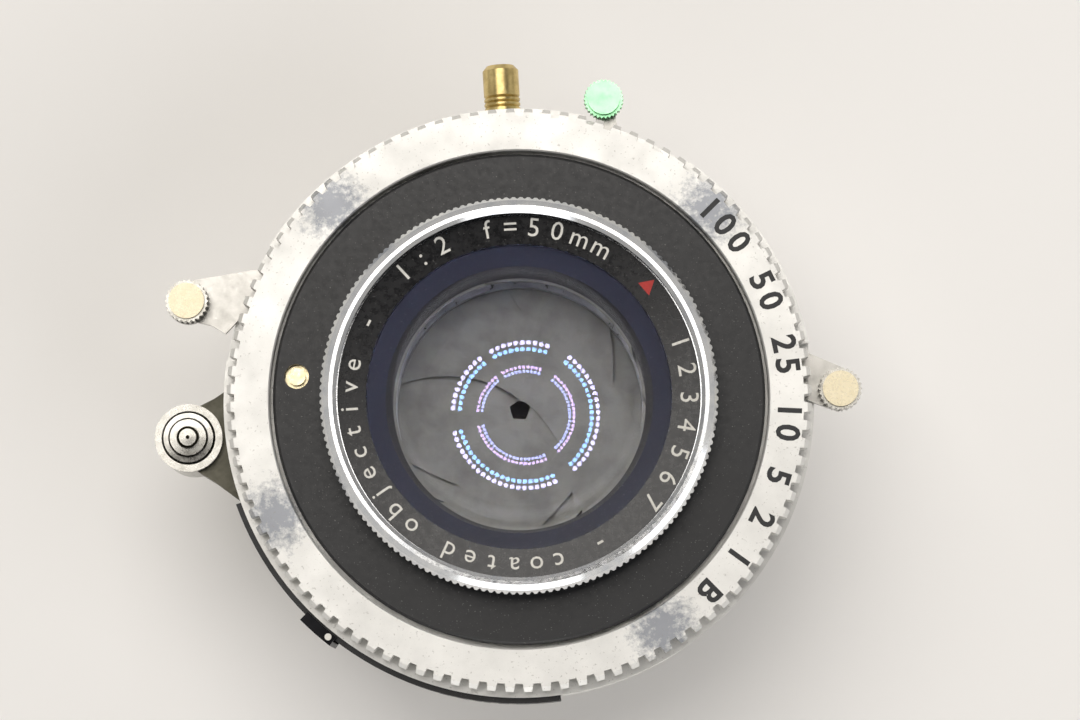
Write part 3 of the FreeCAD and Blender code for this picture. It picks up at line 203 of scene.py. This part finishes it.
def bead_blasted_silver(name, stain):
    """Bead-blasted and satin-plated brass: pale, even, with blue-grey handling stains."""
    material, tree, shader = start_material(name)
    where = add_node(tree, "ShaderNodeTexCoord").outputs["Object"]
    clouds = mottled(tree, where, PLATING_CLOUD, 5.0, 0.6, (0.35, 0.7), (0.0, 1.0))
    plated = add_node(tree, "ShaderNodeMix", {
        BLEND: clouds, UNDER: linear("E0DFDB"), OVER: linear("D5D4D0")}, data_type="RGBA")
    weakened = add_node(tree, "ShaderNodeMath", {0: stained(tree, where), 1: stain},
                        operation="MULTIPLY")
    handled = add_node(tree, "ShaderNodeMix", {
        BLEND: weakened.outputs[0], UNDER: plated.outputs[BLENDED], OVER: linear("7F838B")},
        data_type="RGBA")
    specks = mottled(tree, where, PLATING_SPECK, 2.0, 0.5, (0.66, 0.72), (0.0, 0.45))
    speckled = add_node(tree, "ShaderNodeMix", {
        BLEND: specks, UNDER: handled.outputs[BLENDED], OVER: linear("8B8780")},
        data_type="RGBA")
    tree.links.new(speckled.outputs[BLENDED], shader.inputs["Base Color"])
    shader.inputs["Metallic"].default_value = 0.6
    gloss = mottled(tree, where, PLATING_CLOUD, 5.0, 0.6, (0.3, 0.7), (0.36, 0.5))
    tree.links.new(gloss, shader.inputs["Roughness"])
    roughen(tree, shader, where, BLAST_GRAIN, 2.0, 0.5, 0.006 * MM)
    return material


def black_lacquer(name, roughness, dust):
    """Semi-matt stoved lacquer: near black, with settled dust and faint orange peel."""
    material, tree, shader = start_material(name)
    where = add_node(tree, "ShaderNodeTexCoord").outputs["Object"]
    haze = mottled(tree, where, LACQUER_HAZE, 4.0, 0.6, (0.35, 0.75), (0.0, 0.35))
    worn = add_node(tree, "ShaderNodeMix", {
        BLEND: haze, UNDER: linear("0D0D0F"), OVER: linear("1B1B1E")}, data_type="RGBA")
    specks = mottled(tree, where, DUST_SPECK, 1.0, 0.5, (0.70, 0.76), (0.0, dust))
    dusty = add_node(tree, "ShaderNodeMix", {
        BLEND: specks, UNDER: worn.outputs[BLENDED], OVER: linear("8E8C88")}, data_type="RGBA")
    tree.links.new(dusty.outputs[BLENDED], shader.inputs["Base Color"])
    shader.inputs["IOR"].default_value = 1.5
    gloss = mottled(tree, where, LACQUER_PEEL, 4.0, 0.6, (0.3, 0.7),
                    (roughness - 0.07, roughness + 0.09))
    tree.links.new(gloss, shader.inputs["Roughness"])
    roughen(tree, shader, where, LACQUER_PEEL, 4.0, 0.6, 0.004 * MM)
    return material


def coated_glass(name, ior, tint, level):
    """Polished optical glass: clear, its coating keeps reflections faint; light shines through."""
    material, tree, shader = start_material(name)
    shader.inputs["Base Color"].default_value = linear("FFFFFF")
    shader.inputs["Specular IOR Level"].default_value = level
    shader.inputs["Roughness"].default_value = 0.0
    shader.inputs["IOR"].default_value = ior
    shader.inputs["Transmission Weight"].default_value = 1.0
    shader.inputs["Specular Tint"].default_value = linear(tint)
    path = add_node(tree, "ShaderNodeLightPath")
    clear = add_node(tree, "ShaderNodeBsdfTransparent", {"Color": linear("FDFDFC")})
    surface = add_node(tree, "ShaderNodeMixShader", {
        0: path.outputs["Is Shadow Ray"], 1: shader.outputs[0], 2: clear.outputs[0]})
    tree.links.new(surface.outputs[0], find_node(tree, "OUTPUT_MATERIAL").inputs["Surface"])
    return material


def turned_nickel(name, axis, grooves):
    """Faced-off nickel whose turned grooves and centre dimple are painted near-black as painted
    shade: (radius, half width) of each.
    """
    material, tree, shader, where, bright = start_metal(name, "BDBBB5", "98968F", 0.28, 0.06,
                                                        TURNED_PATCH)
    flat = add_node(tree, "ShaderNodeVectorMath", {
        0: where, 1: (1, 1, 0), 2: (-axis[0], -axis[1], 0)}, operation="MULTIPLY_ADD")
    away = add_node(tree, "ShaderNodeVectorMath", {0: flat.outputs["Vector"]}, operation="LENGTH")
    total = 0.0
    for radius, half_width in grooves:
        groove = add_node(tree, "ShaderNodeMath", {
            0: away.outputs["Value"], 1: radius, 2: half_width}, operation="COMPARE")
        total = add_node(tree, "ShaderNodeMath", {0: total, 1: groove.outputs[0]},
                         operation="MAXIMUM").outputs[0]
    # Painted shade: near-black rings at the grooves and a dot at the dimple, which the mesh does
    # not cut.
    painted_groove_shade = add_node(tree, "ShaderNodeMix", {
        BLEND: total, UNDER: bright, OVER: linear("15140F")}, data_type="RGBA")
    tree.links.new(painted_groove_shade.outputs[BLENDED], shader.inputs["Base Color"])
    return material


def in_front_of(tree, where, height, fade):
    """0 on what lies more than `fade` behind a height, rising to 1 at that height."""
    place = add_node(tree, "ShaderNodeSeparateXYZ", {"Vector": where})
    mask = add_node(tree, "ShaderNodeMapRange", {
        "Value": place.outputs["Z"], "From Min": height - fade, "From Max": height})
    return mask.outputs["Result"]


def capped_nickel(name, cap_height):
    """Nickel grip whose turned cap has yellowed to a warm cream, less metallic than its side."""
    material, tree, shader, where, side = start_metal(name, "BDBBB4", "8E8B84", 0.28, 0.06,
                                                      TURNED_PATCH)
    cap = in_front_of(tree, where, cap_height, 0.1 * MM)
    yellowing = mottled(tree, where, CAP_MOTTLE, 4.0, 0.5, (0.0, 1.0), (0.0, 1.0))
    cream = add_node(tree, "ShaderNodeMix", {
        BLEND: yellowing, UNDER: linear("E9DFC4"), OVER: linear("D6C9A6")}, data_type="RGBA")
    capped = add_node(tree, "ShaderNodeMix", {
        BLEND: cap, UNDER: side, OVER: cream.outputs[BLENDED]}, data_type="RGBA")
    tree.links.new(capped.outputs[BLENDED], shader.inputs["Base Color"])
    metallic = add_node(tree, "ShaderNodeMapRange", {"Value": cap, "To Min": 1.0, "To Max": 0.25})
    tree.links.new(metallic.outputs["Result"], shader.inputs["Metallic"])
    return material


def pointer_steel(name, peg_height):
    """Blackened steel strip with a bright riveted peg."""
    material, tree, shader, where, black = start_metal(name, "1B1B1D", "262628", 0.36, 0.06,
                                                       SHEET_PATCH)
    peg = in_front_of(tree, where, peg_height, 0.02 * MM)
    pegged = add_node(tree, "ShaderNodeMix", {
        BLEND: peg, UNDER: black, OVER: linear("C9C7C1")}, data_type="RGBA")
    tree.links.new(pegged.outputs[BLENDED], shader.inputs["Base Color"])
    return material


def engraving_fill(name, colour, shade, roughness):
    """Engraver's paint: flat colour, slightly uneven where it dried in the figures."""
    material, tree, shader = start_material(name)
    where = add_node(tree, "ShaderNodeTexCoord").outputs["Object"]
    patches = mottled(tree, where, FILL_MOTTLE, 3.0, 0.5, (0.0, 1.0), (0.0, 1.0))
    paint = add_node(tree, "ShaderNodeMix", {
        BLEND: patches, UNDER: linear(colour), OVER: linear(shade)}, data_type="RGBA")
    tree.links.new(paint.outputs[BLENDED], shader.inputs["Base Color"])
    gloss = mottled(tree, where, FILL_MOTTLE, 3.0, 0.5, (0.3, 0.7),
                    (roughness - 0.08, roughness + 0.08))
    tree.links.new(gloss, shader.inputs["Roughness"])
    return material


# Toothed ring: the blasting spreads highlights into one broad soft sheen.
silver = bead_blasted_silver("bead_blasted_silver", 0.85)
# Shutter case: the same plating, hardly handled, so nearly without stains.
case_silver = bead_blasted_silver("satin_chromed_case", 0.3)
# Cover plate: stoved lacquer, dark with a soft grey bloom of light.
lacquer = black_lacquer("black_lacquer", 0.4, 0.3)
# Name ring: the same lacquer over a finer turning, so a little glossier.
ring_lacquer = black_lacquer("name_ring_lacquer", 0.28, 0.3)
# Barrels and baffle: black-anodised aluminium, dull and nearly free of dust.
anodised_black = black_lacquer("black_anodised", 0.5, 0.15)
# Insulator of the flash socket: dark moulded phenolic.
phenolic = black_lacquer("dark_phenolic", 0.45, 0.1)
# Front rim: bright chrome plate, a mirror broken up only by the knurl.
chrome = metal("bright_chrome", "E2E3E4", "C6CAD0", 0.14, 0.04, patch=1.6 * MM)
# Levers: nickel-plated sheet steel, its reflections blurred by the satin brushing.
nickel = metal("satin_nickel_sheet", "BCBAB5", "9B9994", 0.34, 0.07, patch=1.6 * MM)
# Knobs of the levers: nickel-plated grips with yellowed caps.
knob_nickel = capped_nickel("capped_nickel", node_top("cocking_knob") - 0.25 * MM)
# Flash socket: turned brass, lightly tarnished to brown.
brass = metal("turned_brass", "DCC68A", "A8915A", 0.34, 0.08, patch=1.2 * MM)
# Latch pin in the cover plate: brass rubbed pale and bright.
pale_brass = metal("pale_worn_brass", "E6DAB8", "BDAE84", 0.3, 0.05, patch=0.7 * MM)
# Plates, gears and screws inside: brushed steel with a cool grey sheen.
bare_steel = metal("brushed_plate_steel", "B9BBBE", "8B8D91", 0.34, 0.1)
# Iris and shutter blades: thin grey hardened steel, matt and finely pitted.
blade_steel = metal("grey_blade_steel", "84847F", "696965", 0.45, 0.08, 0.002 * MM)
# Self-timer knob: green-anodised aluminium, coloured but still metallic.
green = metal("green_anodised", "A3D9AD", "7DC08F", 0.34, 0.04, patch=1.5 * MM)
# Bracket of the release button: steel passivated to a dark olive.
olive = metal("dark_olive_plate", "55534A", "393830", 0.4, 0.1, 0.004 * MM)
# Front element: crown glass that mirrors the lamps of the stand.
front_glass = coated_glass("coated_crown_glass", 1.5, "FFFFFF", 0.45)
# Elements behind it: denser glass whose coating leaves only a trace of violet.
inner_glass = coated_glass("coated_flint_glass", 1.55, "F0F2FF", 0.1)
# Fills of the engraved figures, and of the index on the name ring.
white_paint = engraving_fill("white_fill", "E9E7E0", "BEBBB2", 0.5)
black_paint = engraving_fill("black_fill", "141414", "232326", 0.5)
red_paint = engraving_fill("red_fill", "C22B22", "8E1E19", 0.4)

# Release button: nickel faced off on the lathe, with a dimple and three rings round it, all
# painted near-black as painted shade in these hollows.
button_low, button_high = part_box("release_button")
BUTTON_AXIS = ((button_low[0] + button_high[0]) / 2, (button_low[1] + button_high[1]) / 2)
BUTTON_GROOVES = ((0.8 * MM, 0.1 * MM), (1.57 * MM, 0.08 * MM), (2.13 * MM, 0.09 * MM),
                  (0.0, 0.16 * MM))
ringed_nickel = turned_nickel("turned_nickel", BUTTON_AXIS, BUTTON_GROOVES)

# Aperture pointer: oil-blackened steel, its peg left bright.
pointer_finish = pointer_steel("blackened_pointer_steel", node_top("aperture_pointer") - 0.35 * MM)

SLOT_FINISH = {
    "black_lacquer": lacquer, "satin_silver": silver, "chrome_rim": chrome,
    "black_anodised": anodised_black, "blade_steel": blade_steel, "plate_steel": bare_steel,
    "brass": brass, "nickel_knob": knob_nickel, "green_anodised": green,
    "socket_insulator": phenolic, "coated_glass": inner_glass,
}
NODE_FINISH = {
    "shutter_housing": case_silver, "front_element": front_glass, "name_ring": ring_lacquer,
    "release_bracket": olive, "front_spacer_ring": anodised_black, "cocking_ring": nickel,
    "release_lever": nickel, "selftimer_lever": nickel, "aperture_pointer": pointer_finish,
    "release_button": ringed_nickel, "release_button_guide": ringed_nickel,
    "cover_latch": pale_brass,
}


def give_finishes():
    """Give each CAD node its own finish, or else that of its slot."""
    slots = {part["node"]: part["material_slot"] for part in frame["record"]["subparts"]}
    for name, thing in frame["nodes"].items():
        finish = NODE_FINISH.get(name) or SLOT_FINISH[slots[name]]
        thing.data.materials.clear()
        thing.data.materials.append(finish)


# ---------------------------------------------------------------- modelling helpers


def apply_place(thing):
    bpy.ops.object.select_all(action="DESELECT")
    thing.select_set(True)
    bpy.context.view_layer.objects.active = thing
    bpy.ops.object.transform_apply(location=True, rotation=True, scale=True)


def join_pieces(members, name):
    bpy.ops.object.select_all(action="DESELECT")
    for member in members:
        member.select_set(True)
    bpy.context.view_layer.objects.active = members[0]
    bpy.ops.object.join()
    result = bpy.context.object
    result.name = result.data.name = name
    return result


def hold(piece, body, finish):
    """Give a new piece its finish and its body."""
    piece.data.materials.clear()
    piece.data.materials.append(finish)
    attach(piece, body)


# ---------------------------------------------------------------- figures on the rings

LETTER_DEPTH = 0.012 * MM
LETTER_CURVE_STEPS = 3

# Labels round a ring: text, angle of its first character and of its last.
SPEED_LABELS = [("100 50 25 10 5 2 1 B", 45.0, -45.5)]
SPEED_RADIUS = 21.95 * MM
SPEED_SIZE = 2.7 * MM
SPEED_WEIGHT = 0.07 * MM

# The name ring's face is a shallow cone that falls from its outer edge to its bore.
NAME_LABELS = [("1:2 f=50mm", 133.0, 61.0), ("1234567", 18.5, -38.5),
               ("- coated objective -", -61.0, -206.0)]
NAME_BORE = 12.4 * MM
NAME_FALL = 0.32 * MM
NAME_RADIUS = 13.72 * MM
NAME_SIZE = 2.15 * MM
INDEX_TURN = 40.7
INDEX_RADIUS = 0.78 * MM

# The stops stand side by side over the pointer's travel, from the smallest opening on.
STOPS = ["22", "16", "11", "8", "5.6", "4", "2.8", "2"]
STOP_START = 228.65
STOP_TRAVEL = 40.0
STOP_WALL = 24.75 * MM
STOP_HEIGHT = 6.6 * MM
STOP_SIZE = 1.5 * MM
STOP_ADVANCE = 0.66


def character(letter, size, weight=0.0):
    """One raised character, centred on the origin and facing +Z."""
    bpy.ops.object.text_add()
    mark = bpy.context.object
    mark.data.body = letter
    mark.data.size = size
    mark.data.extrude = LETTER_DEPTH
    mark.data.offset = weight
    mark.data.resolution_u = LETTER_CURVE_STEPS
    mark.data.align_x = "CENTER"
    mark.data.align_y = "CENTER"
    bpy.ops.object.convert(target="MESH")
    return bpy.context.object


def face_place(radius, turn, height, tilt):
    """Stand a mark on a ring's front face, its top outwards."""
    return (Matrix.Translation(polar(radius, turn, height))
            @ Matrix.Rotation(math.radians(turn - 90), 4, "Z")
            @ Matrix.Rotation(tilt, 4, "X"))


def face_lettering(name, labels, radius, height, size, tilt=0.0, weight=0.0):
    """Figures round a ring's front face."""
    marks = []
    for text, first, last in labels:
        for number, letter in enumerate(text):
            if letter == " ":
                continue
            turn = first + (last - first) * number / (len(text) - 1)
            mark = character(letter, size, weight)
            mark.matrix_world = face_place(radius, turn, height, tilt)
            apply_place(mark)
            marks.append(mark)
    return join_pieces(marks, name)


def wall_lettering(name, labels, radius, height, size):
    """Figures on the case's flank, upright towards the front and facing outwards."""
    marks = []
    advance = math.degrees(size * STOP_ADVANCE / radius)
    for text, angle in labels:
        for number, letter in enumerate(text):
            turn = angle + advance * (number - (len(text) - 1) / 2)
            mark = character(letter, size)
            out, along = polar(1, turn), polar(1, turn + 90)
            mark.matrix_world = Matrix((
                (along.x, 0, out.x, out.x * radius),
                (along.y, 0, out.y, out.y * radius),
                (0, 1, 0, height), (0, 0, 0, 1)))
            apply_place(mark)
            marks.append(mark)
    return join_pieces(marks, name)


def make_speed_figures():
    top = node_top("speed_ring") + LETTER_DEPTH * 0.5
    figures = face_lettering("speed_figures", SPEED_LABELS, SPEED_RADIUS, top, SPEED_SIZE,
                             weight=SPEED_WEIGHT)
    hold(figures, "speed_dial", black_paint)


def make_name_ring_figures():
    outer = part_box("name_ring")[1][0]
    slope = math.atan2(NAME_FALL, outer - NAME_BORE)
    top = (node_top("name_ring") - (outer - NAME_RADIUS) * math.tan(slope)
           + LETTER_DEPTH * 0.4)
    figures = face_lettering("name_ring_figures", NAME_LABELS, NAME_RADIUS, top, NAME_SIZE, slope)
    hold(figures, "case", white_paint)
    bpy.ops.mesh.primitive_cylinder_add(vertices=3, radius=INDEX_RADIUS, depth=2 * LETTER_DEPTH)
    index = bpy.context.object
    index.name = "red_index_mark"
    index.matrix_world = face_place(NAME_RADIUS, INDEX_TURN, top + LETTER_DEPTH, slope)
    apply_place(index)
    hold(index, "case", red_paint)


def make_stop_figures():
    step = STOP_TRAVEL / (len(STOPS) - 1)
    labels = [(text, STOP_START + step * number) for number, text in enumerate(STOPS)]
    figures = wall_lettering("stop_figures", labels, STOP_WALL + LETTER_DEPTH * 0.5, STOP_HEIGHT,
                             STOP_SIZE)
    hold(figures, "case", white_paint)


# ---------------------------------------------------------------- stage, light and camera

FLOOR_SIZE = 3.0
PAPER_MOTTLE = 60 * MM

# The room by height, from the horizon to the dark ceiling straight overhead. The first two are
# the colour ramp's own stops, the others are added between them.
ROOM_TONES = ((0.0, "A8A6A3"), (1.0, "0C0C0D"), (0.3, "CFCCC8"), (0.5, "F2EFEA"),
              (0.6, "E8E5E0"), (0.68, "161617"))
ROOM_LIGHT = 0.92

# Softboxes: name, place, height on the axis that it aims at, side, power and colour.
SOFTBOXES = (("top_softbox", (-0.1, 0.3, 0.68), 0.01, 0.6, 4.2, "FFFBF6"),
             ("fill_softbox", (0.5, -0.3, 0.5), 0.01, 0.5, 1.5, "FBFBFF"),
             ("low_softbox", (0.0, -0.6, 0.15), 0.0, 0.4, 0.9, "FFFFFF"))

# Rows of small lamps: name, radius of the row and of one lamp, colour, strength.
LAMP_ROWS = (("lamp_row_outer", 56.4 * MM, 1.95 * MM, "D2CCFF", 34.0),
             ("lamp_row_middle", 51.0 * MM, 1.85 * MM, "8CC0FF", 34.0),
             ("lamp_row_inner", 36.6 * MM, 1.3 * MM, "D6B8FA", 30.0),
             ("lamp_row_centre", 33.2 * MM, 1.25 * MM, "AEB8FF", 28.0))
LAMP_ARCS = ((73.0, 120.0), (129.0, 178.0), (194.0, 296.0), (313.0, 417.0))
LAMP_PITCH = 5.0
LAMP_CORNERS = 12
LAMP_CENTRE = Vector((4.6 * MM, -2.6 * MM, 0.0))
LAMP_HEIGHT = 165 * MM

CAMERA_AIM = Vector((1.7 * MM, 3.1 * MM, 14.0 * MM))
CAMERA_DISTANCE = 330 * MM
CAMERA_ELEVATION = math.radians(84.5)
FOCAL_LENGTH = 135.0
SENSOR_WIDTH = 36.0

# A path of light crosses every glass face of the lens on its way in and out.
GLASS_BOUNCES = 32
METAL_BOUNCES = 8


def make_floor():
    """A sheet of matt off-white card, faintly mottled, which gives a plain pale ground."""
    bpy.ops.mesh.primitive_plane_add(size=FLOOR_SIZE, location=(0, 0, CAD_BOX[0][2]))
    floor = bpy.context.object
    floor.name = "studio_floor"
    material, tree, shader = start_material("pale_floor")
    where = add_node(tree, "ShaderNodeTexCoord").outputs["Object"]
    paper = mottled(tree, where, PAPER_MOTTLE, 4.0, 0.5, (0.0, 1.0), (0.0, 1.0))
    card = add_node(tree, "ShaderNodeMix", {
        BLEND: paper, UNDER: linear("EFEDEA"), OVER: linear("E9E7E4")}, data_type="RGBA")
    tree.links.new(card.outputs[BLENDED], shader.inputs["Base Color"])
    shader.inputs["Roughness"].default_value = 0.85
    floor.data.materials.append(material)


def make_room():
    """Surroundings that change with height only, for the metals to mirror."""
    world = bpy.data.worlds.new("studio")
    world.use_nodes = True
    tree = world.node_tree
    direction = add_node(tree, "ShaderNodeTexCoord").outputs["Generated"]
    height = add_node(tree, "ShaderNodeSeparateXYZ", {"Vector": direction}).outputs["Z"]
    room = add_node(tree, "ShaderNodeValToRGB", {"Fac": height})
    stops = room.color_ramp.elements
    for number, (place, colour) in enumerate(ROOM_TONES):
        stop = stops[number] if number < 2 else stops.new(place)
        stop.position = place
        stop.color = linear(colour)
    background = find_node(tree, "BACKGROUND")
    tree.links.new(room.outputs["Color"], background.inputs["Color"])
    background.inputs["Strength"].default_value = ROOM_LIGHT
    bpy.context.scene.world = world


def light_only(lamp, thing, state):
    """Limit a lamp to one thing ("INCLUDE") or to all but that thing ("EXCLUDE")."""
    group = bpy.data.collections.new(lamp.name + "_receivers")
    group.objects.link(thing)
    group.collection_objects[0].light_linking.link_state = state
    lamp.light_linking.receiver_collection = group


def make_softbox(name, place, aim_height, side, power, colour):
    """A square soft light on all but the front element, which mirrors the ring lamp instead."""
    bpy.ops.object.light_add(type="AREA", location=place)
    lamp = bpy.context.object
    lamp.name = name
    lamp.data.size = side
    lamp.data.energy = power
    lamp.data.color = linear(colour)[:3]
    lamp.visible_transmission = False
    light_only(lamp, frame["nodes"]["front_element"], "EXCLUDE")
    aim = Vector((0, 0, aim_height))
    lamp.rotation_euler = (aim - Vector(place)).to_track_quat("-Z", "Y").to_euler()


def make_lamp_row(name, radius, lamp_radius, colour, strength):
    """One row of the stand's ring lamp, which shows in the front glass as dotted arcs."""
    material, _, shader = start_material(name)
    shader.inputs["Base Color"].default_value = (0, 0, 0, 1)
    shader.inputs["Emission Color"].default_value = linear(colour)
    shader.inputs["Emission Strength"].default_value = strength
    dots = []
    for start, end in LAMP_ARCS:
        for number in range(int((end - start) / LAMP_PITCH) + 1):
            spot = LAMP_CENTRE + polar(radius, start + LAMP_PITCH * number, LAMP_HEIGHT)
            bpy.ops.mesh.primitive_circle_add(vertices=LAMP_CORNERS, radius=lamp_radius,
                                              fill_type="NGON", location=spot,
                                              rotation=(math.pi, 0, 0))
            dots.append(bpy.context.object)
    row = join_pieces(dots, name)
    row.data.materials.append(material)
    row.visible_camera = False
    row.visible_shadow = False
    row.visible_diffuse = False
    row.visible_transmission = False
    light_only(row, frame["nodes"]["front_element"], "INCLUDE")


def make_lights():
    for softbox in SOFTBOXES:
        make_softbox(*softbox)
    for row in LAMP_ROWS:
        make_lamp_row(*row)


def make_camera():
    """A long lens nearly on the optical axis, a few degrees below it."""
    back = Vector((0, -math.cos(CAMERA_ELEVATION), math.sin(CAMERA_ELEVATION)))
    place = CAMERA_AIM + CAMERA_DISTANCE * back
    bpy.ops.object.camera_add(location=place)
    camera = bpy.context.object
    camera.data.lens = FOCAL_LENGTH
    camera.data.sensor_width = SENSOR_WIDTH
    camera.data.clip_start = 0.01
    camera.data.clip_end = 10.0
    camera.rotation_euler = (CAMERA_AIM - place).to_track_quat("-Z", "Y").to_euler()
    bpy.context.scene.camera = camera


def set_light_paths():
    cycles = bpy.context.scene.cycles
    cycles.max_bounces = GLASS_BOUNCES
    cycles.transmission_bounces = GLASS_BOUNCES
    cycles.transparent_max_bounces = GLASS_BOUNCES
    cycles.glossy_bounces = METAL_BOUNCES


give_finishes()
make_speed_figures()
make_name_ring_figures()
make_stop_figures()
make_floor()
make_room()
make_lights()
make_camera()
set_light_paths()
bpy.context.scene.view_settings.view_transform = "Standard"

bpy.context.view_layer.update()
